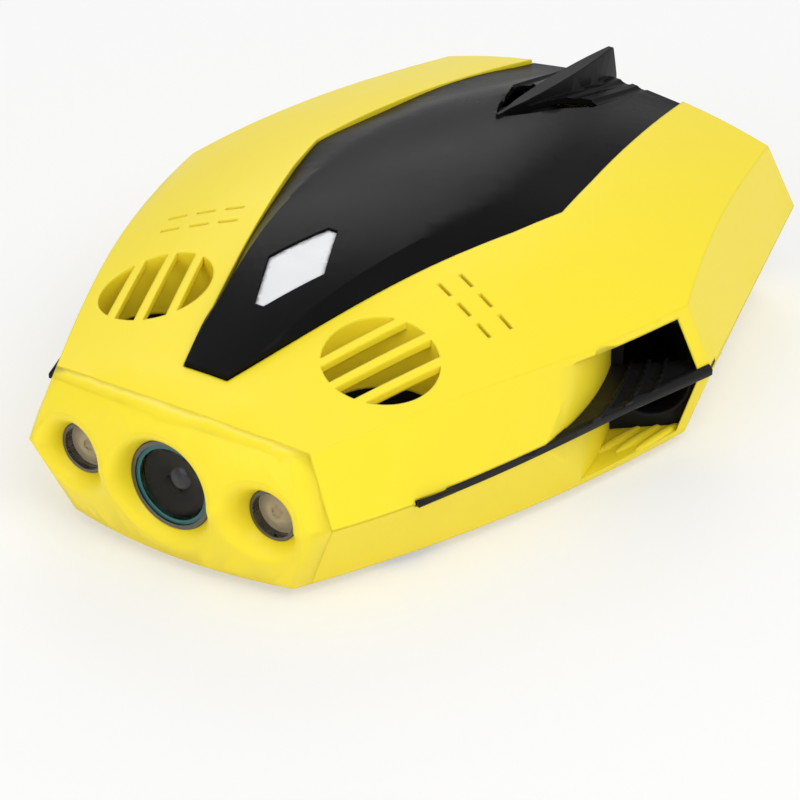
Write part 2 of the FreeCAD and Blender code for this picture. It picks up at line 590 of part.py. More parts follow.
def lamp_parts(x):
    y = lamp_y()
    ring = turned([(LAMP_GLASS_R, y - 0.5), (LAMP_RING_R - 0.4, y - 0.5), (LAMP_RING_R, y), (LAMP_RING_R, y + 3.2),
                   (LAMP_GLASS_R, y + 3.2)], x, CAMERA_Z)
    window = turned([(0, y), (LAMP_GLASS_R, y), (LAMP_GLASS_R, y + 1.6), (0, y + 1.6)], x, CAMERA_Z)
    sink = turned([(0, y + 3.2), (1.6, y + 2.4), (1.6, y + 1.9), (3.0, y + 1.9), (6.2, y + 3.2), (LAMP_RING_R, y + 3.2),
                   (LAMP_RING_R, y + 5.5), (5.0, y + 5.5), (5.0, y + 11), (0, y + 11)], x, CAMERA_Z)
    return {"lamp_ring": ring, "lamp_window": window, "lamp_led": sink}


# ---- top cover ----------------------------------------------------------------------------
def crown_height(place, offset, x, lower=0.0):
    """Height of the yellow crown at a cover station, between the crown's own stations."""
    y = PLACES[place] + offset
    stations = [(PLACES[p] + o, h, d) for p, o, h, d in CROWN_STATIONS]
    for (y0, h0, d0), (y1, h1, d1) in zip(stations, stations[1:]):
        if y0 <= y <= y1:
            share = (y - y0) / (y1 - y0)
            return h0 + share * (h1 - h0) - (d0 + share * (d1 - d0)) * (x / CROWN_REF) ** 2 - lower
    return stations[-1][1] - lower


def cover_form(skin=0.0):
    """Raised form of the cover: flat-topped, with a bevel that runs down past its edge."""
    wires = []
    for place, offset, half, crease, height, drop in COVER_STATIONS:
        y = PLACES[place] + offset
        crease_x = min(crease, half - skin - 0.1)
        crease_z = height - drop - skin * 1.05
        edge_z = min(crown_height(place, offset, half) - skin * 0.6, crease_z - 0.05)
        edge = half + COVER_OVERHANG - skin
        edge_z -= (crease_z - edge_z) * COVER_OVERHANG / max(half - skin - crease_x, COVER_OVERHANG)
        low = 30.0
        spots = [Vector(-edge, y, edge_z), Vector(-crease_x, y, crease_z), Vector(crease_x, y, crease_z),
                 Vector(edge, y, edge_z), Vector(edge, y, low), Vector(-edge, y, low)]
        top = Part.Arc(spots[1], Vector(0, y, height - skin), spots[2]).toShape()
        edges = [Part.LineSegment(spots[0], spots[1]).toShape(), top,
                 Part.LineSegment(spots[2], spots[3]).toShape(), Part.LineSegment(spots[3], spots[4]).toShape(),
                 Part.LineSegment(spots[4], spots[5]).toShape(), Part.LineSegment(spots[5], spots[0]).toShape()]
        wires.append(Part.Wire(edges))
    return Part.makeLoft(wires, True, False)


def fin():
    """Thin upright fin that grows out of the cover towards the tail."""
    y0, y1 = FIN_FRONT_Y, TAIL_Y + FIN_REAR_BASE
    tip_y = TAIL_Y + FIN_TIP[0]

    def lens(z, half):
        front, back = Vector(0, y0 - 4, z), Vector(0, y1 + 2, z)
        middle = (y0 + 2 * y1) / 3
        right = Part.Arc(front, Vector(half, middle, z), back).toShape()
        left = Part.Arc(back, Vector(-half, middle, z), front).toShape()
        return Part.Wire([right, left])

    body = Part.makeLoft([lens(46.0, FIN_HALF_BASE + 1.2), lens(TOP_LEVEL, FIN_HALF_TOP * 0.6)], True, True)
    points = [Vector(0, y0, 71.4), Vector(0, tip_y, FIN_TIP[1]), Vector(0, y1, 56.6), Vector(0, y1, 50),
              Vector(0, y0, 50)]
    side = Part.Face(Part.makePolygon(points + points[:1])).extrude(Vector(20, 0, 0))
    side.translate(Vector(-10, 0, 0))
    tip_edges = [e for e in side.Edges if e.BoundBox.XLength > 19 and e.BoundBox.ZMin > FIN_TIP[1] - 1
                 and e.BoundBox.YMin > tip_y - 1]
    return body.common(side.makeFillet(1.6, tip_edges))


def intake_cuts():
    """Teardrop openings beside the fin, and the grooves that run from them to the tail."""
    points = [Vector(x, TAIL_Y + y, 40) for x, y in INTAKE_PLAN]
    curve = Part.BSplineCurve()
    curve.interpolate(points, PeriodicFlag=True)
    drop = Part.Face(Part.Wire(curve.toShape())).extrude(Vector(0, 0, TOP_LEVEL - 40))
    grooves = []
    for x0, x1, radius in ((6.5, 7.6, 2.6), (12.6, 13.4, 2.4)):
        start, end = Vector(x0, TAIL_Y - 44, 68.2 - 0.015 * x0 * x0), Vector(x1, TAIL_Y + 2, 57.8 - 0.05 * x1)
        grooves.append(Part.makeCone(radius * 0.9, radius * 1.3, (end - start).Length, start, end - start))
    return drop, grooves


def top_cover():
    inside = cover_form(COVER_SKIN).common(cover_outline(-COVER_SKIN, 30, TOP_LEVEL))
    skin = cover_form().common(cover_outline(0.0, 30, TOP_LEVEL)).fuse(fin()).cut(inside)
    drop, grooves = intake_cuts()
    cover = skin.cut(crown_solid(COVER_SEAT - 0.1))
    groove_cut = grooves[0].fuse(grooves[1:]).cut(cover_form(COVER_SKIN * 0.6))
    for cut in (drop, groove_cut):
        cover = cover.cut([cut, mirrored(cut)])
    lens = status_lens_form(FIT)
    return cover.cut(lens).common(hull_sides().fuse(fin()))


def status_lens_form(grow=0.0):
    """Upright prism with the plan outline of the status lens."""
    y = NOSE_Y + LENS_FROM_NOSE
    a, b, c = LENS_HALF[0] + grow, LENS_HALF[1] + grow, LENS_TRUNCATION
    points = [(a, 0), (c, b), (-c, b), (-a, 0), (-c, -b), (c, -b)]
    return prism([(px, y + py) for px, py in points], 40, TOP_LEVEL)


def status_parts():
    y = NOSE_Y + LENS_FROM_NOSE
    lens = status_lens_form().common(cover_form(LENS_SINK)).cut(cover_form(LENS_SINK + 2.4))
    flange = status_lens_form(2.0).common(cover_form(COVER_SKIN + 0.15)).cut(cover_form(COVER_SKIN + 1.2))
    board = status_lens_form(-1.5).common(cover_form(COVER_SKIN + 2.2)).cut(cover_form(COVER_SKIN + 3.8))
    leds = [cylinder(1.6, 50, TOP_LEVEL, 0, y + step).common(cover_form(COVER_SKIN + 1.4)).cut(
        cover_form(COVER_SKIN + 2.8)) for step in (-8, 0, 8)]
    return {"status_lens": lens.fuse(flange), "status_board": board.fuse(leds)}


# ---- thrusters ------------------------------------------------------------------------------
def blade(hub_r, tip_r, z, hand):
    """One twisted blade along +X, lofted through lens-shaped sections."""
    wires = []
    for share, chord, pitch, thick in ((0.0, 9.0, 48.0, 1.5), (0.5, 11.5, 34.0, 1.1), (1.0, 9.0, 24.0, 0.7)):
        x = hub_r - 1.0 + share * (tip_r + 0.6 - hub_r + 1.0)
        back, front = Vector(x, -chord / 2, 0), Vector(x, chord / 2, 0)
        upper = Part.Arc(back, Vector(x, 0, thick), front).toShape()
        lower = Part.Arc(front, Vector(x, 0, -thick * 0.3), back).toShape()
        wire = Part.Wire([upper, lower])
        wire.rotate(ORIGIN, Vector(1, 0, 0), hand * pitch)
        wires.append(wire)
    return placed(Part.makeLoft(wires, True, False), 0, 0, z)


def propeller(tip_r, z, hand):
    hub = spun([(0, z), (BELL_R, z), (BELL_R, z + HUB_HEIGHT - 2), (BELL_R - 1.5, z + HUB_HEIGHT),
                (0, z + HUB_HEIGHT)])
    one = blade(BELL_R, tip_r, z + HUB_HEIGHT / 2, hand)
    blades = [placed(one, 0, 0, 0, Z_AXIS, 360.0 / BLADES * i) for i in range(BLADES)]
    sweep = cylinder(tip_r, z - 6, z + HUB_HEIGHT + 6)
    return hub.fuse([b.common(sweep) for b in blades])


def nut(z):
    return spun([(0, z), (3.6, z), (3.4, z + 1.6), (2.2, z + 3.4), (0, z + 4.0)])


def stator(z):
    """Wound core on its base, with the bore that the shaft runs in."""
    core = cylinder(STATOR_R, z + 1.6, z + 6.8)
    slots = [placed(box(3.4, STATOR_R + 1, -0.8, 0.8, z + 1.6, z + 6.8), 0, 0, 0, Z_AXIS, 60.0 * i) for i in range(6)]
    body = core.cut(slots).fuse([cylinder(STATOR_R - 0.4, z, z + 1.2), cylinder(2.6, z, z + 7.2)])
    return body.cut(cylinder(SHAFT_R + SHAFT_CLEARANCE, z - 1, z + 8))


def rotor(z):
    """Bell with its shaft, open towards the stator's base."""
    inside = STATOR_R + 0.35
    low = z + 1.6
    top = z + BELL_HEIGHT
    return spun([(0, z + 0.4), (SHAFT_R, z + 0.4), (SHAFT_R, top - 1.3), (inside, top - 1.3), (inside, low),
                 (BELL_R, low), (BELL_R, top), (0, top)])


def duct(length, cup_z):
    """Duct ring with three struts that carry the motor cup."""
    outer = TUNNEL_R + DUCT_WALL
    ring = cylinder(outer, 0, length).cut(cylinder(TUNNEL_R, -1, length + 1))
    cup = cylinder(CUP_R, cup_z, cup_z + CUP_HEIGHT)
    struts = [placed(box(0, TUNNEL_R + DUCT_WALL / 2, -0.9, 0.9, cup_z, cup_z + CUP_HEIGHT), 0, 0, 0, Z_AXIS,
                     120.0 * i + 30) for i in range(3)]
    cup = cup.fuse(struts).cut(cylinder(SHAFT_R + 0.6, cup_z + 1, cup_z + CUP_HEIGHT + 1))
    return ring.fuse(cup)


def thruster(name, place, hand, length, cup_z):
    """All pieces of one thruster, built upright and then placed."""
    motor_z = cup_z + CUP_HEIGHT
    hub_z = motor_z + BELL_HEIGHT
    parts = {"stator_" + name: stator(motor_z), "rotor_" + name: rotor(motor_z),
             "propeller_" + name: propeller(TUNNEL_R - BLADE_GAP, hub_z, hand),
             "prop_nut_" + name: nut(hub_z + HUB_HEIGHT)}
    tube = duct(length, cup_z)
    return {node: place(shape) for node, shape in parts.items()}, place(tube)


def drive_passage(inset, ahead=0.0):
    """Solid passage from the slanted mouth to the round drive duct, which starts as a blunt cone (right side)."""
    mx, my = mouth_place()
    half_width, half_height = MOUTH_HALF[0] - inset, MOUTH_HALF[1] - inset
    radius = TUNNEL_R + DUCT_WALL - inset
    length = math.hypot(mx - DRIVE_X, my - DRIVE_FRONT_Y)
    middle_z = (FLOOR_Z + RIDGE_Z - 1.5) / 2
    straight = half_height - half_width
    rows = [along_y(half_width, -ahead, length, 0, middle_z + side * straight) for side in (-1, 1)]
    rows.append(box(-half_width, half_width, -ahead, length, middle_z - straight, middle_z + straight))
    channel = placed(rows[0].fuse(rows[1:]), mx, my, 0, Z_AXIS, MOUTH_TURN)
    front = DRIVE_FRONT_Y - radius * 0.9
    bend = turned([(0, front), (radius * 0.5, front), (radius * 0.86, front + radius * 0.4), (radius, DRIVE_FRONT_Y),
                   (radius, DRIVE_FRONT_Y + 1.5), (0, DRIVE_FRONT_Y + 1.5)], DRIVE_X, EQUATOR_Z)
    return channel.fuse(bend)


def drive_duct(tube):
    """Black passage with its bulkhead across the intake, joined to the thruster's tube."""
    bulkhead = mouth_slab(0, 2.0).common(box(0, HULL_WIDTH, -HULL_LENGTH, DRIVE_FRONT_Y, FLOOR_Z + FIT, TOP_LEVEL))
    bulkhead = bulkhead.common(crown_solid(WALL + FIT)).common(inside_rear_facet(RIM + FIT))
    bulkhead = bulkhead.cut(scoop_column(SCOOP_R + FIT))
    return bulkhead.fuse(drive_passage(0.0)).cut(drive_passage(DUCT_WALL, 3.0)).fuse(tube)


def drive_nozzle():
    """Outlet ring at the tail with guard bars (right side)."""
    start = TAIL_Y - DRIVE_REAR_GAP
    outer = TUNNEL_R + DUCT_WALL + 0.6
    ring = along_y(outer, start, TAIL_Y + 10, DRIVE_X, EQUATOR_Z).cut(
        along_y(TUNNEL_R, start - 1, TAIL_Y + 11, DRIVE_X, EQUATOR_Z))
    bars = [box(DRIVE_X - TUNNEL_R - 0.5, DRIVE_X + TUNNEL_R + 0.5, TAIL_Y - 11, TAIL_Y - 8.6,
                EQUATOR_Z + step - 0.8, EQUATOR_Z + step + 0.8) for step in (-8.5, 0, 8.5)]
    bars = [bar.common(along_y(TUNNEL_R + 0.5, start, TAIL_Y, DRIVE_X, EQUATOR_Z)) for bar in bars]
    return ring.fuse(bars).common(OUTER)


def side_vane():
    """Horizontal blade in the right intake, with lengthwise ribs and a rounded outer edge."""
    z0, z1 = EQUATOR_Z - VANE_THICKNESS / 2, EQUATOR_Z + VANE_THICKNESS / 2
    plate = vane_plan(z0, z1, SCOOP_WALL)
    ribs = []
    for step in (5.0, 10.0, 15.0):
        ring = scoop_column(SCOOP_R + step + 1.2).cut(scoop_column(SCOOP_R + step))
        ribs.append(ring.common(vane_plan(z1 - 0.5, z1 + 1.0, -3.0)))
    return plate.fuse([vane_edge()] + ribs)


# ---- capsule --------------------------------------------------------------------------------
def capsule_block(inset, z0, z1):
    return rounded_box(-CAPSULE_HALF_WIDTH + inset, CAPSULE_HALF_WIDTH - inset, NOSE_Y + CAPSULE_FROM_NOSE + inset,
                       CAPSULE_REAR_Y - inset, z0, z1, CAPSULE_CORNER - inset)


def capsule_parts():
    z0, z1 = CAPSULE_Z
    front = NOSE_Y + CAPSULE_FROM_NOSE
    neck_end = camera_y() + 6.2
    neck = along_y(NECK_R, neck_end, front + CAPSULE_WALL / 2, 0, CAMERA_Z)
    body = capsule_block(0, z0, z1).fuse(neck)
    feet = [cylinder(4, 0, z0, fx, fy) for fx in (-14, 14) for fy in (front + 12, CAPSULE_REAR_Y - 12)]
    room = capsule_block(CAPSULE_WALL, z0 + CAPSULE_WALL, z1 + 1)
    tube = along_y(NECK_R - CAPSULE_WALL, neck_end - 1, front + CAPSULE_WALL + 1, 0, CAMERA_Z)
    body = body.fuse([foot.common(INNER) for foot in feet]).cut([room, tube])
    rails = [box(side * (CAPSULE_HALF_WIDTH - CAPSULE_WALL) - 3, side * (CAPSULE_HALF_WIDTH - CAPSULE_WALL) + 3,
                 front + 12, CAPSULE_REAR_Y - 12, BOARD_Z - 2, BOARD_Z).common(capsule_block(0.5, z0, z1))
             for side in (-1, 1)]
    rim = capsule_block(-1.5, z1 - 4, z1).cut(capsule_block(CAPSULE_WALL, z1 - 5, z1 + 1))
    body = body.fuse(rails + [rim])
    seal = capsule_block(-0.5, z1, z1 + SEAL_HEIGHT).cut(capsule_block(CAPSULE_WALL, z1 - 1, z1 + 3))
    lid = capsule_block(-1.5, z1 + SEAL_HEIGHT, z1 + SEAL_HEIGHT + LID_HEIGHT)
    middle_y = (front + CAPSULE_REAR_Y) / 2
    length, width, height = BATTERY[1], BATTERY[0], BATTERY[2]
    battery = rounded_box(-width / 2, width / 2, middle_y - length / 2, middle_y + length / 2, z0 + CAPSULE_WALL,
                          z0 + CAPSULE_WALL + height, 4)
    board = box(-BOARD[0] / 2, BOARD[0] / 2, middle_y - BOARD[1] / 2, middle_y + BOARD[1] / 2, BOARD_Z,
                BOARD_Z + BOARD[2])
    chips = [box(cx - 6, cx + 6, middle_y + cy - 6, middle_y + cy + 6, BOARD_Z + BOARD[2], BOARD_Z + BOARD[2] + 2.5)
             for cx, cy in ((-16, -14), (8, -10), (-8, 16), (17, 14))]
    return {"pressure_hull": body, "hull_seal": seal, "hull_lid": lid, "battery_pack": battery,
            "main_board": board.fuse(chips)}


# ---- fasteners and fittings --------------------------------------------------------------------
def screws():
    found = []
    for bx, by in screw_places():
        seat = screw_seat(bx, by)
        shank = cylinder(SCREW_R, seat, EQUATOR_Z + 8, bx, by)
        head = cylinder(2 * SCREW_R, seat - 1.6, seat, bx, by)
        found.append(shank.fuse(head))
    return Part.makeCompound(found + [mirrored(screw) for screw in found])


def inserts():
    found = []
    for x in (-INSERT_SPACING[0] / 2, INSERT_SPACING[0] / 2):
        for side in (-INSERT_SPACING[1] / 2, INSERT_SPACING[1] / 2):
            y = INSERT_MIDDLE_Y + side
            tube = cylinder(INSERT_R, 0.2, INSERT_LENGTH, x, y).cut(cylinder(INSERT_BORE_R, -1, INSERT_LENGTH + 1, x, y))
            found.append(tube)
    return Part.makeCompound(found)


def tether_socket():
    back = TAIL_Y - SOCKET_DEPTH - 4
    floor = TAIL_Y - SOCKET_DEPTH
    body = along_y(SOCKET_R, back, TAIL_Y - 0.4, 0, SOCKET_Z)
    flange = along_y(SOCKET_R + 2.0, back, TAIL_Y - WALL - 3.6, 0, SOCKET_Z)
    places = [(dx, SOCKET_Z + dz) for dx in (-2, 2) for dz in (-2, 2)]
    pins = [along_y(PIN_R, floor - 1.5, floor, x, z) for x, z in places]
    return body.fuse(flange).cut([along_y(SOCKET_BORE_R, floor, TAIL_Y, 0, SOCKET_Z)] + pins), Part.makeCompound(pins)


def main():
    global OUTER, INNER
    os.makedirs("parts", exist_ok=True)
    OUTER = hull_form()
    INNER = hull_form(WALL)
    nodes = {"upper_shell": upper_shell(), "lower_shell": lower_shell(), "nose_bezel": nose_bezel(),
             "top_cover": top_cover()}
    nodes.update(status_parts())
    nodes.update(camera_parts())
    for side, x in (("left", -LAMP_X), ("right", LAMP_X)):
        nodes.update({node + "_" + side: shape for node, shape in lamp_parts(x).items()})
    nodes.update(capsule_parts())

    front_y = NOSE_Y + FRONT_FROM_NOSE
    tail_y = TAIL_Y - TAIL_TUNNEL_FROM_TAIL
    drive_end = TAIL_Y - DRIVE_REAR_GAP
    upright = {"front_left": (-FRONT_X, front_y, -1, FRONT_DUCT_TOP), "front_right": (FRONT_X, front_y, 1, FRONT_DUCT_TOP),
               "tail": (0.0, tail_y, 1, TAIL_DUCT_TOP)}
    for name, (x, y, hand, top) in upright.items():
        parts, tube = thruster(name, lambda s: placed(s, x, y, DUCT_SEAT_Z), hand, top - DUCT_SEAT_Z, 2.0)
        nodes.update(parts)
        nodes["duct_" + name] = tube
    for side, sign in (("left", -1), ("right", 1)):
        parts, tube = thruster("drive_" + side, lambda s: placed(s, sign * DRIVE_X, drive_end, EQUATOR_Z,
                                                                 Vector(1, 0, 0), 90), sign,
                               drive_end - DRIVE_FRONT_Y + 1, 4.0)
        nodes.update(parts)
        whole = drive_duct(tube if sign > 0 else mirrored(tube))
        nodes["drive_duct_" + side] = whole if sign > 0 else mirrored(whole)
        for node, shape in (("drive_nozzle", drive_nozzle()), ("side_vane", side_vane())):
            nodes[node + "_" + side] = shape if sign > 0 else mirrored(shape)

    nodes["tether_socket"], nodes["socket_pins"] = tether_socket()
    nodes["shell_screws"] = screws()
    nodes["ballast_inserts"] = inserts()
    for node, shape in nodes.items():
        save(shape, node)


if __name__ == "__main__":
    main()
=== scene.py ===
import bpy
import json
import math
from mathutils import Matrix, Vector


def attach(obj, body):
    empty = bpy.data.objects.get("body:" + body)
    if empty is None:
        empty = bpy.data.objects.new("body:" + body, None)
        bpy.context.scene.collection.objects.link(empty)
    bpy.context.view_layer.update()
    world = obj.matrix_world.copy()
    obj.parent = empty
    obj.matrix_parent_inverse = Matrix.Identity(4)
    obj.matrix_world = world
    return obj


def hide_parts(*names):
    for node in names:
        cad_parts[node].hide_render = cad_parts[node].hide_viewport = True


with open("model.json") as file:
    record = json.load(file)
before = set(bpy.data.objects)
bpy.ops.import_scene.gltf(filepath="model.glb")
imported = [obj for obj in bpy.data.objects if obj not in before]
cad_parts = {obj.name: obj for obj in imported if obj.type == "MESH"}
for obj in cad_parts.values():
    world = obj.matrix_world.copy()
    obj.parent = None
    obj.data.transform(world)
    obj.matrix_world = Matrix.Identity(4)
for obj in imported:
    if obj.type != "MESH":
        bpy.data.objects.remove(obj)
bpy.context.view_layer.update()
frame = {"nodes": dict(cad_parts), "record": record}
thrusters = ["front_left", "front_right", "tail", "drive_left", "drive_right"]
print("frame loaded:", len(frame["nodes"]), "nodes")


# camera: azimuth turns from the nose towards the right-hand side
viewer = {"azimuth": 33.65, "elevation": 29.06, "roll": -0.22, "distance": 1.12915,
          "target": (0.0, -0.002, 0.033), "lens": 171.02, "sensor": 36.0,
          "shift": (-0.0029, -0.1307), "clip": (0.05, 20.0)}


def setCamera():
    azimuth, elevation, roll = (math.radians(viewer[key]) for key in ("azimuth", "elevation", "roll"))
    back = Vector((math.sin(azimuth) * math.cos(elevation),
                   -math.cos(azimuth) * math.cos(elevation),
                   math.sin(elevation)))
    right = (-back).cross(Vector((0, 0, 1))).normalized()
    up = right.cross(-back)
    across = right * math.cos(roll) + up * math.sin(roll)
    upright = up * math.cos(roll) - right * math.sin(roll)
    place = Vector(viewer["target"]) + back * viewer["distance"]
    data = bpy.data.cameras.new("studioCamera")
    data.lens = viewer["lens"]
    data.sensor_width = viewer["sensor"]
    data.shift_x, data.shift_y = viewer["shift"]
    data.clip_start, data.clip_end = viewer["clip"]
    camera = bpy.data.objects.new("studioCamera", data)
    camera.matrix_world = Matrix(((across.x, upright.x, back.x, place.x),
                                  (across.y, upright.y, back.y, place.y),
                                  (across.z, upright.z, back.z, place.z),
                                  (0, 0, 0, 1)))
    bpy.context.collection.objects.link(camera)
    bpy.context.scene.camera = camera


setCamera()
print("camera set")


# finishes: each is built from nodes that read Object coordinates
def newMaterial(name):
    material = bpy.data.materials.new(name)
    material.use_nodes = True
    nodes, links = material.node_tree.nodes, material.node_tree.links
    return material, nodes, links, nodes["Principled BSDF"]


def addNoise(nodes, links, coord, scale, detail):
    noise = nodes.new("ShaderNodeTexNoise")
    noise.inputs["Scale"].default_value = scale
    noise.inputs["Detail"].default_value = detail
    links.new(coord.outputs["Object"], noise.inputs["Vector"])
    return noise.outputs["Fac"]


def addTint(nodes, links, shader, pattern, look):
    # the colour runs to a darker shade of itself
    tint = nodes.new("ShaderNodeMix")
    tint.data_type = "RGBA"
    tint.inputs["A"].default_value = (*look["colour"], 1.0)
    tint.inputs["B"].default_value = (*[c * look["shade"] for c in look["colour"]], 1.0)
    links.new(pattern, tint.inputs["Factor"])
    links.new(tint.outputs["Result"], shader.inputs["Base Color"])


def addGloss(nodes, links, shader, pattern, look):
    gloss = nodes.new("ShaderNodeMapRange")
    gloss.inputs["From Min"].default_value, gloss.inputs["From Max"].default_value = look["span"]
    gloss.inputs["To Min"].default_value, gloss.inputs["To Max"].default_value = look["roughness"]
    links.new(pattern, gloss.inputs["Value"])
    links.new(gloss.outputs["Result"], shader.inputs["Roughness"])


def addRelief(nodes, links, shader, pattern, look):
    # fine relief over softened edges
    edge = nodes.new("ShaderNodeBevel")
    edge.samples = look["edgeSamples"]
    edge.inputs["Radius"].default_value = look["edgeRadius"]
    bump = nodes.new("ShaderNodeBump")
    bump.inputs["Strength"].default_value = look["grainDepth"]
    bump.inputs["Distance"].default_value = look["grainHeight"]
    links.new(pattern, bump.inputs["Height"])
    links.new(edge.outputs["Normal"], bump.inputs["Normal"])
    links.new(bump.outputs["Normal"], shader.inputs["Normal"])


plasticBase = {"cloudDetail": 4.0, "span": (0.3, 0.7), "grainDetail": 3.0, "grainHeight": 0.0001,
               "edgeSamples": 6, "specular": 0.5, "coat": 0.0, "coatRoughness": 0.12}


def plasticFinish(name, own):
    # moulded plastic: slight cloudiness in colour and gloss, and a fine grain
    look = {**plasticBase, **own}
    material, nodes, links, shader = newMaterial(name)
    coord = nodes.new("ShaderNodeTexCoord")
    cloud = addNoise(nodes, links, coord, look["cloudScale"], look["cloudDetail"])
    grain = addNoise(nodes, links, coord, look["grainScale"], look["grainDetail"])
    addTint(nodes, links, shader, cloud, look)
    addGloss(nodes, links, shader, cloud, look)
    addRelief(nodes, links, shader, grain, look)
    shader.inputs["Specular IOR Level"].default_value = look["specular"]
    shader.inputs["Coat Weight"].default_value = look["coat"]
    shader.inputs["Coat Roughness"].default_value = look["coatRoughness"]
    return material


metalBase = {"shade": 0.8, "span": (0.0, 1.0), "centre": (0.0, 0.0, 0.0), "axis": "Z", "wobble": 1.5,
             "ringDetail": 3.0, "edgeSamples": 4, "edgeRadius": 0.0002, "grainDepth": 0.15,
             "grainHeight": 0.00005}


def metalFinish(name, own):
    # turned metal: fine rings about one axis
    look = {**metalBase, **own}
    material, nodes, links, shader = newMaterial(name)
    coord = nodes.new("ShaderNodeTexCoord")
    centre = nodes.new("ShaderNodeMapping")
    centre.inputs["Location"].default_value = [-c for c in look["centre"]]
    rings = nodes.new("ShaderNodeTexWave")
    rings.wave_type = "RINGS"
    rings.rings_direction = look["axis"]
    rings.inputs["Scale"].default_value = look["ringScale"]
    rings.inputs["Distortion"].default_value = look["wobble"]
    rings.inputs["Detail"].default_value = look["ringDetail"]
    links.new(coord.outputs["Object"], centre.inputs["Vector"])
    links.new(centre.outputs["Vector"], rings.inputs["Vector"])
    addTint(nodes, links, shader, rings.outputs["Fac"], look)
    addGloss(nodes, links, shader, rings.outputs["Fac"], look)
    addRelief(nodes, links, shader, rings.outputs["Fac"], look)
    shader.inputs["Metallic"].default_value = 1.0
    return material


glassBase = {"shade": 0.94, "span": (0.0, 1.0), "clear": 1.0, "shine": 0.5, "smearScale": 90.0,
             "smearDetail": 2.0}


def glassFinish(name, own):
    # clear glass with a faint smear in its gloss and tint
    look = {**glassBase, **own}
    material, nodes, links, shader = newMaterial(name)
    shader.inputs["Transmission Weight"].default_value = look["clear"]
    shader.inputs["IOR"].default_value = look["bend"]
    shader.inputs["Specular IOR Level"].default_value = look["shine"]
    coord = nodes.new("ShaderNodeTexCoord")
    smear = addNoise(nodes, links, coord, look["smearScale"], look["smearDetail"])
    addTint(nodes, links, shader, smear, look)
    addGloss(nodes, links, shader, smear, look)
    return material


plastics = {
    "shellYellow": {"colour": (0.985, 0.80, 0.030), "shade": 0.97, "cloudScale": 26.0,
                    "roughness": (0.32, 0.42), "grainScale": 1500.0, "grainDepth": 0.10,
                    "edgeRadius": 0.0010, "specular": 0.30},
    "coverBlack": {"colour": (0.0065, 0.0065, 0.0072), "shade": 0.8, "cloudScale": 30.0,
                   "roughness": (0.26, 0.34), "grainScale": 1700.0, "grainDepth": 0.10,
                   "edgeRadius": 0.0005, "specular": 0.055},
    "lensWhite": {"colour": (0.80, 0.81, 0.83), "shade": 0.93, "cloudScale": 140.0,
                  "roughness": (0.34, 0.46), "grainScale": 900.0, "grainDepth": 0.12,
                  "edgeRadius": 0.0003},
    "ductBlack": {"colour": (0.010, 0.010, 0.011), "shade": 0.75, "cloudScale": 45.0,
                  "roughness": (0.38, 0.50), "grainScale": 1300.0, "grainDepth": 0.18,
                  "edgeRadius": 0.0004, "specular": 0.2},
    "propellerBlack": {"colour": (0.018, 0.018, 0.02), "shade": 0.8, "cloudScale": 60.0,
                       "roughness": (0.28, 0.4), "grainScale": 1300.0, "grainDepth": 0.1,
                       "edgeRadius": 0.0003},
    "bellGrey": {"colour": (0.12, 0.125, 0.13), "shade": 0.85, "cloudScale": 60.0,
                 "roughness": (0.35, 0.5), "grainScale": 1500.0, "grainDepth": 0.1,
                 "edgeRadius": 0.0002},
    "lensBlack": {"colour": (0.012, 0.0085, 0.002), "shade": 0.6, "cloudScale": 90.0,
                  "roughness": (0.12, 0.22), "grainScale": 900.0, "grainDepth": 0.05,
                  "edgeRadius": 0.0002, "specular": 0.2},
    # dark lens dome: the blue in its colour is a painted reflection, while its gloss and coat reflect for
    # real
    "lensBlue": {"colour": (0.010, 0.011, 0.028), "shade": 0.7, "cloudScale": 120.0,
                 "roughness": (0.04, 0.08), "grainScale": 900.0, "grainDepth": 0.0,
                 "edgeRadius": 0.0001, "specular": 0.6, "coat": 0.5},
    "ledCream": {"colour": (0.66, 0.56, 0.40), "shade": 0.85, "cloudScale": 160.0,
                 "roughness": (0.25, 0.4), "grainScale": 900.0, "grainDepth": 0.12,
                 "edgeRadius": 0.0002, "specular": 0.3},
    "sealTeal": {"colour": (0.02, 0.13, 0.135), "shade": 0.8, "cloudScale": 150.0,
                 "roughness": (0.3, 0.42), "grainScale": 1500.0, "grainDepth": 0.15,
                 "edgeRadius": 0.0003},
    "sealBlack": {"colour": (0.02, 0.02, 0.02), "shade": 0.8, "cloudScale": 150.0,
                  "roughness": (0.55, 0.7), "grainScale": 1500.0, "grainDepth": 0.2,
                  "edgeRadius": 0.0003},
    "capsuleGrey": {"colour": (0.035, 0.036, 0.038), "shade": 0.8, "cloudScale": 40.0,
                    "roughness": (0.45, 0.6), "grainScale": 1200.0, "grainDepth": 0.2,
                    "edgeRadius": 0.0004},
    "boardGreen": {"colour": (0.02, 0.10, 0.05), "shade": 0.7, "cloudScale": 260.0,
                   "roughness": (0.35, 0.55), "grainScale": 1500.0, "grainDepth": 0.2,
                   "edgeRadius": 0.0002},
    "batteryBlue": {"colour": (0.02, 0.05, 0.16), "shade": 0.8, "cloudScale": 60.0,
                    "roughness": (0.25, 0.4), "grainScale": 900.0, "grainDepth": 0.2,
                    "edgeRadius": 0.0006}}
metals = {
    "ringSteel": {"colour": (0.16, 0.155, 0.15), "roughness": (0.14, 0.28),
                  "centre": (0.0, 0.0, 0.0266), "axis": "Y", "ringScale": 900.0},
    "ringBronze": {"colour": (0.16, 0.11, 0.035), "roughness": (0.25, 0.4),
                   "centre": (0.0, 0.0, 0.0266), "axis": "Y", "ringScale": 1200.0},
    "motorCopper": {"colour": (0.45, 0.22, 0.10), "roughness": (0.3, 0.45), "ringScale": 1200.0},
    "nutSteel": {"colour": (0.55, 0.56, 0.58), "roughness": (0.22, 0.36), "ringScale": 1500.0},
    "pinBrass": {"colour": (0.72, 0.50, 0.20), "roughness": (0.22, 0.34), "ringScale": 1500.0}}
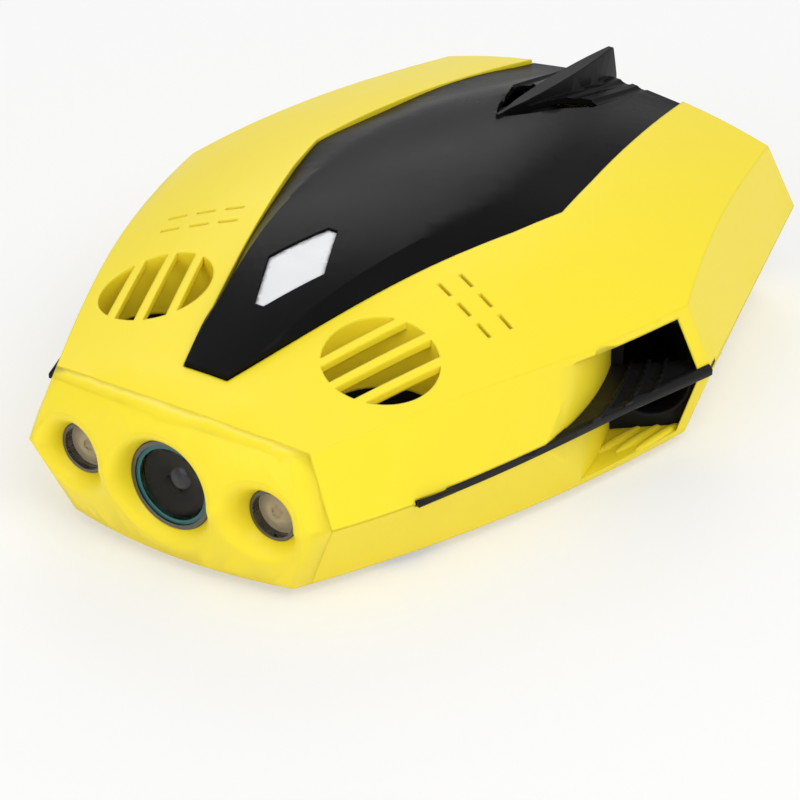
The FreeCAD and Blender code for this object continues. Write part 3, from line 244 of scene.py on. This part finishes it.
glasses = {
    "windowGlass": {"colour": (0.80, 0.80, 0.82), "roughness": (0.0, 0.03), "bend": 1.12},
    "lampGlass": {"colour": (0.95, 0.93, 0.86), "roughness": (0.01, 0.05), "bend": 1.2}}

finishes = {}
for looks, makeFinish in ((plastics, plasticFinish), (metals, metalFinish), (glasses, glassFinish)):
    for name, look in looks.items():
        finishes[name] = makeFinish(name, look)
print("finishes made:", len(finishes))

finishOfSlot = {"shell_yellow": "shellYellow", "cover_black": "coverBlack", "lens_white": "lensWhite",
                "board_green": "boardGreen", "ring_steel": "ringSteel", "seal_teal": "sealTeal",
                "window_glass": "windowGlass", "lens_black": "lensBlack", "lamp_glass": "lampGlass",
                "led_cream": "ledCream", "capsule_grey": "capsuleGrey", "seal_black": "sealBlack",
                "battery_blue": "batteryBlue", "motor_steel": "motorCopper", "bell_grey": "bellGrey",
                "prop_black": "propellerBlack", "nut_steel": "nutSteel", "duct_black": "ductBlack",
                "socket_black": "ductBlack", "pin_brass": "pinBrass"}


def paint(piece, finishName):
    piece.data.materials.clear()
    piece.data.materials.append(finishes[finishName])


for part in frame["record"]["subparts"]:
    paint(frame["nodes"][part["node"]], finishOfSlot[part["material_slot"]])
print("frame painted")


# steps that several pieces share
mergeDistance = 0.000002


def deselectAll():
    bpy.ops.object.select_all(action="DESELECT")


def selectMesh():
    bpy.ops.object.mode_set(mode="EDIT")
    bpy.ops.mesh.select_all(action="SELECT")


def mergeDoubles():
    selectMesh()
    bpy.ops.mesh.remove_doubles(threshold=mergeDistance)
    bpy.ops.object.mode_set(mode="OBJECT")


def ownPiece(name, finishName):
    # the new primitive becomes a named piece with its place in its mesh
    piece = bpy.context.object
    piece.name = name
    bpy.ops.object.transform_apply(location=True, rotation=True, scale=True)
    bpy.ops.object.shade_smooth()
    paint(piece, finishName)
    return piece


def keepOnBody(piece, node, body="hull"):
    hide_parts(node)
    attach(piece, body)


def camelName(node):
    first, *others = node.split("_")
    return first + "".join(word.capitalize() for word in others)


# nose bowls: the windows sit deep, and soft-edged bowls run back to them
lamp = {"x": 0.0318, "height": 0.0266, "ringX": 0.0323, "mouth": 0.0133, "ring": 0.0080,
        "depth": -0.1142, "outward": 0.0011, "deeper": 0.0026}


def lampBowl(side):
    return {"at": (side * lamp["x"], lamp["height"]), "ringX": side * lamp["ringX"],
            "mouth": lamp["mouth"], "ring": lamp["ring"], "depth": lamp["depth"],
            "move": (side * lamp["outward"], lamp["deeper"], 0.0)}


bowls = {"camera": {"at": (0.0, 0.0268), "ringX": 0.0, "mouth": 0.0181, "ring": 0.0140,
                    "depth": -0.1172, "move": (0.0, 0.0036, 0.0002)},
         "lampRight": lampBowl(1), "lampLeft": lampBowl(-1)}
mouthCut = {"sides": 128, "middle": -0.121, "depth": 0.03}
# above and below the equator: rise, narrowing and setback up to the bezel's edge
noseFace = {"front": -0.1255, "bulge": 0.00485, "halfWidth": 0.0472, "equator": 0.0275,
            "above": (0.0207, 0.0068, 0.0034), "below": (0.0235, 0.0094, 0.0073)}


def facePlace(x, z):
    # how far forward the bulged face of the bezel lies at this spot
    height = z - noseFace["equator"]
    rise, narrow, back = noseFace["above"] if height > 0 else noseFace["below"]
    share = abs(height) / rise
    half = noseFace["halfWidth"] - narrow * share
    arc = (half ** 2 + noseFace["bulge"] ** 2) / (2 * noseFace["bulge"])
    return noseFace["front"] + back * share + arc - math.sqrt(arc ** 2 - x * x)


def openMouth(bezel, bowl):
    deselectAll()
    bpy.ops.mesh.primitive_cylinder_add(vertices=mouthCut["sides"], radius=bowl["mouth"],
                                        depth=mouthCut["depth"],
                                        location=(bowl["at"][0], mouthCut["middle"], bowl["at"][1]),
                                        rotation=(math.radians(90), 0, 0))
    cutter = bpy.context.object
    cut = bezel.modifiers.new("mouth", "BOOLEAN")
    cut.operation = "DIFFERENCE"
    cut.object = cutter
    cut.solver = "EXACT"
    bpy.context.view_layer.objects.active = bezel
    bpy.ops.object.modifier_apply(modifier=cut.name)
    bpy.data.objects.remove(cutter)


# the rear side screws are moved up and inwards
rearScrew = {"beyondX": 0.065, "beyondY": 0.05, "inward": 0.0006, "up": 0.0026}


def rearScrewMove(side):
    def chosen(point):
        return side * point.x > rearScrew["beyondX"] and point.y > rearScrew["beyondY"]
    return chosen, (-side * rearScrew["inward"], 0.0, rearScrew["up"])


def wholeMove(bowl):
    return [(lambda point: True, bowls[bowl]["move"])]


movesOf = {"shell_screws": [rearScrewMove(1), rearScrewMove(-1)]}
for node in ("camera_ring", "camera_seal", "camera_window", "camera_lens"):
    movesOf[node] = wholeMove("camera")
for node in ("lamp_ring_", "lamp_window_", "lamp_led_"):
    movesOf[node + "right"] = wholeMove("lampRight")
    movesOf[node + "left"] = wholeMove("lampLeft")


def shiftPoints(piece, chosen, move):
    bpy.ops.object.mode_set(mode="EDIT")
    bpy.ops.mesh.select_mode(type="VERT")
    bpy.ops.mesh.select_all(action="DESELECT")
    bpy.ops.object.mode_set(mode="OBJECT")
    for point in piece.data.vertices:
        point.select = chosen(point.co)
    bpy.ops.object.mode_set(mode="EDIT")
    bpy.ops.transform.translate(value=move)
    bpy.ops.object.mode_set(mode="OBJECT")


# merged, smooth-shaded copies stand for the frame's nodes; edges sharper than the angle stay
edgeAngles = {"upper_shell": 12, "lower_shell": 12, "nose_bezel": 16, "top_cover": 9, "status_lens": 26,
              "camera_ring": 26, "camera_seal": 30, "camera_window": 30, "camera_lens": 30,
              "lamp_led_left": 30, "lamp_led_right": 30, "lamp_ring_left": 30, "lamp_ring_right": 30,
              "lamp_window_left": 30, "lamp_window_right": 30, "side_vane_left": 30, "side_vane_right": 30,
              "drive_duct_left": 34, "drive_duct_right": 34, "drive_nozzle_left": 30,
              "drive_nozzle_right": 30, "duct_front_left": 30, "duct_front_right": 30, "duct_tail": 30,
              "tether_socket": 30, "shell_screws": 30}
shading = {"flatAngle": 0.6, "areaWeight": 90, "spinnerAngle": 34}


def smoothCopy(node, name, angle, moves=(), mouths=()):
    deselectAll()
    source = frame["nodes"][node]
    piece = source.copy()
    piece.data = source.data.copy()
    piece.name = name
    piece.parent = None
    piece.matrix_world = Matrix.Identity(4)
    bpy.context.collection.objects.link(piece)
    bpy.context.view_layer.objects.active = piece
    piece.select_set(True)
    mergeDoubles()
    for chosen, move in moves:
        shiftPoints(piece, chosen, move)
    for mouth in mouths:
        openMouth(piece, mouth)
    if mouths:
        selectMesh()
        bpy.ops.mesh.dissolve_limited(angle_limit=math.radians(shading["flatAngle"]))
        bpy.ops.object.mode_set(mode="OBJECT")
    bpy.ops.object.shade_smooth_by_angle(angle=math.radians(angle))
    even = piece.modifiers.new("evenNormals", "WEIGHTED_NORMAL")
    even.mode = "FACE_AREA"
    even.weight = shading["areaWeight"]
    even.keep_sharp = True
    bpy.ops.object.modifier_apply(modifier=even.name)
    for key in [key for key in piece.keys() if key.startswith("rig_")]:
        del piece[key]
    return piece


for node, angle in edgeAngles.items():
    mouths = list(bowls.values()) if node == "nose_bezel" else ()
    keepOnBody(smoothCopy(node, camelName(node), angle, movesOf.get(node, ()), mouths), node)
print("shells copied")


# each bowl's wall is a curve from its mouth to its ring, turned about the bowl's axis
bowlWall = {"around": 96, "along": 18, "lipShare": 0.06, "lipRow": -0.999, "lip": 0.0004,
            "lipProud": 0.00003, "rollIn": (0.56, 0.06), "foot": (0.16, 0.56), "insideRing": 0.0002}


def buildBowl(name, bowl):
    deselectAll()
    bpy.ops.mesh.primitive_grid_add(x_subdivisions=bowlWall["around"], y_subdivisions=bowlWall["along"],
                                    size=2.0)
    piece = bpy.context.object
    centreX, centreZ = bowl["at"]
    wide = bowl["mouth"] - bowl["ring"]
    lipShare = bowlWall["lipShare"]
    for point in piece.data.vertices:
        turn = math.pi * (point.co.x + 1.0)
        share = max((point.co.y + 1.0) / 2.0 * (1.0 + lipShare) - lipShare, 0.0)
        rim = facePlace(centreX + bowl["mouth"] * math.cos(turn), centreZ + bowl["mouth"] * math.sin(turn))
        deep = bowl["depth"] - rim
        reach = ((bowl["mouth"], rim),
                 (bowl["mouth"] - bowlWall["rollIn"][0] * wide, rim + bowlWall["rollIn"][1] * deep),
                 (bowl["ring"] + bowlWall["foot"][0] * wide, rim + bowlWall["foot"][1] * deep),
                 (bowl["ring"] - bowlWall["insideRing"], bowl["depth"]))
        weight = ((1 - share) ** 3, 3 * share * (1 - share) ** 2, 3 * share ** 2 * (1 - share), share ** 3)
        radius = sum(w * spot[0] for w, spot in zip(weight, reach))
        place = sum(w * spot[1] for w, spot in zip(weight, reach))
        if point.co.y < bowlWall["lipRow"]:  # the outermost row lies just on the face
            radius = bowl["mouth"] + bowlWall["lip"]
            face = facePlace(centreX + radius * math.cos(turn), centreZ + radius * math.sin(turn))
            place = face - bowlWall["lipProud"]
        middleX = centreX + share * (bowl["ringX"] - centreX)
        point.co = (middleX + radius * math.cos(turn), place, centreZ + radius * math.sin(turn))
    piece.name = name
    mergeDoubles()
    if sum(face.normal.y * face.area for face in piece.data.polygons) > 0:
        selectMesh()
        bpy.ops.mesh.flip_normals()
        bpy.ops.object.mode_set(mode="OBJECT")
    bpy.ops.object.shade_smooth()
    paint(piece, "shellYellow")
    keepOnBody(piece, "nose_bezel")


for name, bowl in bowls.items():
    buildBowl("bowl" + name[0].upper() + name[1:], bowl)
print("bowls built")

for thruster in thrusters:
    for kind in ("rotor_", "propeller_", "prop_nut_"):
        keepOnBody(smoothCopy(kind + thruster, kind.replace("_", "") + "-" + thruster,
                              shading["spinnerAngle"]), kind + thruster, "spinner_" + thruster)
print("thrusters copied")


# camera lens: dark dome whose blue tint is a painted reflection, and stepped bronze rings behind the
# window
lensSet = {"front": -0.1119, "height": 0.0268, "domeRadius": 0.0043, "domeDepth": 0.0022,
           "domeFaces": (48, 24), "ringFaces": (64, 10),
           "rings": ((0.0056, 0.00030, -0.1126), (0.0074, 0.00026, -0.1134), (0.0092, 0.00030, -0.1141))}


def buildLens():
    deselectAll()
    segments, ringCount = lensSet["domeFaces"]
    bpy.ops.mesh.primitive_uv_sphere_add(segments=segments, ring_count=ringCount,
                                         radius=lensSet["domeRadius"],
                                         location=(0, lensSet["front"], lensSet["height"]))
    bpy.context.object.scale = (1.0, lensSet["domeDepth"] / lensSet["domeRadius"], 1.0)
    pieces = [ownPiece("lensDome", "lensBlue")]
    around, section = lensSet["ringFaces"]
    for number, (radius, thick, place) in enumerate(lensSet["rings"]):
        deselectAll()
        bpy.ops.mesh.primitive_torus_add(major_segments=around, minor_segments=section,
                                         major_radius=radius, minor_radius=thick,
                                         location=(0, place, lensSet["height"]),
                                         rotation=(math.radians(90), 0, 0))
        pieces.append(ownPiece("lensRing%d" % number, "ringBronze"))
    for piece in pieces:
        keepOnBody(piece, "camera_lens")


buildLens()
print("lens built")


# black collar between the tail duct and the openings beside the fin
collar = {"radius": 0.0181, "depth": 0.0110, "place": (0.0, 0.0700, 0.0520), "sides": 72, "wall": 0.0012}


def buildCollar():
    deselectAll()
    bpy.ops.mesh.primitive_cylinder_add(vertices=collar["sides"], radius=collar["radius"],
                                        depth=collar["depth"], end_fill_type="NOTHING",
                                        location=collar["place"])
    piece = ownPiece("tailCollar", "ductBlack")
    wall = piece.modifiers.new("wall", "SOLIDIFY")
    wall.thickness = collar["wall"]
    wall.offset = 1.0
    bpy.context.view_layer.objects.active = piece
    bpy.ops.object.modifier_apply(modifier=wall.name)
    keepOnBody(piece, "duct_tail")


buildCollar()
print("collar built")


# side band and floor ribs; side is 1 on the right and -1 on the left
band = {"start": (0.06395, -0.0903), "end": (0.0680, -0.0782), "height": 0.0280, "thick": 0.0015,
        "deep": 0.0010, "proud": 0.00012}
ribs = {"places": ((0.0742, -0.0005), (0.0786, 0.0035), (0.0828, 0.0075)), "floor": 0.0066,
        "half": (0.0014, 0.0105, 0.0013), "turn": 8.0, "faces": (32, 16)}


def sideWord(side):
    return "Right" if side > 0 else "Left"


def buildBand(side):
    start, end = Vector((*band["start"], band["height"])), Vector((*band["end"], band["height"]))
    run = (end - start).normalized()
    outward = Vector((run.y, -run.x, 0))
    middle = (start + end) / 2 + outward * (band["proud"] - band["deep"] / 2)
    deselectAll()
    bpy.ops.mesh.primitive_cube_add(size=1.0, location=(side * middle.x, middle.y, middle.z),
                                    rotation=(0, 0, side * math.atan2(run.y, run.x)))
    bpy.context.object.scale = ((end - start).length, band["deep"], band["thick"])
    keepOnBody(ownPiece("sideBand" + sideWord(side), "ductBlack"), "side_vane_" + sideWord(side).lower())


def buildRibs(side):
    segments, ringCount = ribs["faces"]
    for number, (x, y) in enumerate(ribs["places"]):
        deselectAll()
        bpy.ops.mesh.primitive_uv_sphere_add(segments=segments, ring_count=ringCount, radius=1.0,
                                             location=(side * x, y, ribs["floor"]),
                                             rotation=(0, 0, math.radians(-side * ribs["turn"])))
        bpy.context.object.scale = ribs["half"]
        keepOnBody(ownPiece("floorRib%d%s" % (number, sideWord(side)), "shellYellow"), "lower_shell")


for side in (1, -1):
    buildBand(side)
    buildRibs(side)
print("bands and ribs built")


# studio: pale floor and soft light
studio = {"floorSize": 12.0, "floorDrop": 0.0002, "floorColour": (0.93, 0.93, 0.93), "floorRoughness": 0.9,
          "floorSheen": 0.1, "floorGlow": 0.45, "backdrop": (0.98, 0.98, 0.98), "worldLight": 0.55,
          "aim": (0, 0, 0.03),
          "lamps": {"keyLamp": {"place": (1.1, -0.5, 1.5), "size": 1.3, "power": 15.0},
                    "fillLamp": {"place": (-0.2, -1.8, 0.9), "size": 1.4, "power": 8.0},
                    "rearLamp": {"place": (-0.9, 1.2, 1.1), "size": 1.0, "power": 6.0}}}


def setFloor():
    # part of the floor's white is seen by the camera only
    deselectAll()
    bpy.ops.mesh.primitive_plane_add(size=studio["floorSize"], location=(0, 0, -studio["floorDrop"]))
    floor = bpy.context.object
    floor.name = "studioFloor"
    material, nodes, links, shader = newMaterial("floorPale")
    shader.inputs["Base Color"].default_value = (*studio["floorColour"], 1.0)
    shader.inputs["Roughness"].default_value = studio["floorRoughness"]
    shader.inputs["Specular IOR Level"].default_value = studio["floorSheen"]
    glow = nodes.new("ShaderNodeEmission")
    path = nodes.new("ShaderNodeLightPath")
    share = nodes.new("ShaderNodeMath")
    share.operation = "MULTIPLY"
    share.inputs[1].default_value = studio["floorGlow"]
    links.new(path.outputs["Is Camera Ray"], share.inputs[0])
    blend = nodes.new("ShaderNodeMixShader")
    links.new(share.outputs[0], blend.inputs["Fac"])
    links.new(shader.outputs[0], blend.inputs[1])
    links.new(glow.outputs[0], blend.inputs[2])
    links.new(blend.outputs[0], nodes["Material Output"].inputs["Surface"])
    floor.data.materials.append(material)


def setWorld():
    world = bpy.data.worlds.new("studioWorld")
    bpy.context.scene.world = world
    world.use_nodes = True
    nodes, links = world.node_tree.nodes, world.node_tree.links
    light = nodes["Background"]
    light.inputs["Color"].default_value = (1, 1, 1, 1)
    light.inputs["Strength"].default_value = studio["worldLight"]
    seen = nodes.new("ShaderNodeBackground")
    seen.inputs["Color"].default_value = (*studio["backdrop"], 1)
    path = nodes.new("ShaderNodeLightPath")
    blend = nodes.new("ShaderNodeMixShader")
    links.new(path.outputs["Is Camera Ray"], blend.inputs["Fac"])
    links.new(light.outputs[0], blend.inputs[1])
    links.new(seen.outputs[0], blend.inputs[2])
    links.new(blend.outputs[0], nodes["World Output"].inputs["Surface"])


def setLamps():
    for name, settings in studio["lamps"].items():
        data = bpy.data.lights.new(name, "AREA")
        data.shape = "SQUARE"
        data.size = settings["size"]
        data.energy = settings["power"]
        holder = bpy.data.objects.new(name, data)
        holder.location = settings["place"]
        aim = Vector(studio["aim"]) - Vector(settings["place"])
        holder.rotation_euler = aim.to_track_quat("-Z", "Y").to_euler()
        bpy.context.collection.objects.link(holder)


setFloor()
setWorld()
setLamps()
bpy.context.scene.view_settings.view_transform = "Standard"
print("studio set")
